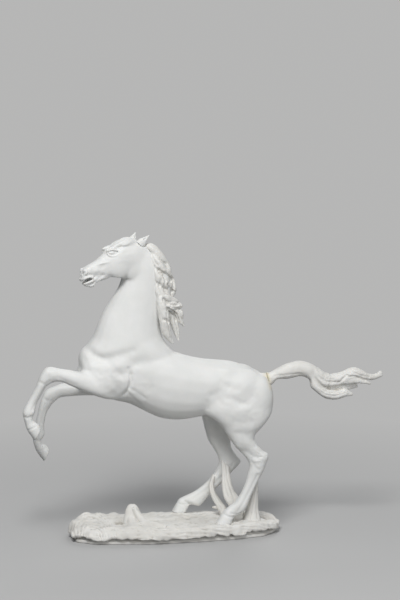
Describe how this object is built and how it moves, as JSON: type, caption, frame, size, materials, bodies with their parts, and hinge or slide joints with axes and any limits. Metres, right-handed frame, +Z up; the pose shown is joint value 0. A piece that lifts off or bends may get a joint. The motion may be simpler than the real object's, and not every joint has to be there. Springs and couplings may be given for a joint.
{
  "type": "figurine",
  "caption": "Matte white porcelain figurine of a prancing horse with raised forelegs, blown mane and tail, on an irregular oval ground base with branch supports.",
  "frame": {"origin": "centre of the figurine's bounding box on the surface it stands on", "axes": "+X from the raised forehooves to the tail tip, +Y to the horse's right side, +Z up"},
  "size_m": [0.37, 0.0796, 0.3087],
  "materials": {
    "bisque_porcelain": "matte unglazed bisque",
    "bisque_hair": "matte unglazed bisque, slightly warm",
    "bisque_ground": "matte unglazed bisque, slightly warm",
    "old_adhesive": "yellowed, satin"
  },
  "bodies": {
    "root": {"base_plate": "bisque_ground", "ground": "bisque_ground", "stump": "bisque_ground", "support_branch": "bisque_ground", "support_stem": "bisque_ground", "near_hind_leg": "bisque_porcelain", "off_hind_leg": "bisque_porcelain", "trunk": "bisque_porcelain", "near_foreleg": "bisque_porcelain", "off_foreleg": "bisque_porcelain", "neck": "bisque_porcelain", "head": "bisque_porcelain", "near_ear": "bisque_porcelain", "off_ear": "bisque_porcelain", "forelock": "bisque_hair", "mane_crest": "bisque_hair", "mane_lock_upper": "bisque_hair", "mane_lock_middle": "bisque_hair", "mane_lock_lower": "bisque_hair", "tail_glue": "old_adhesive", "tail": "bisque_hair"}
  },
  "joints": []
}
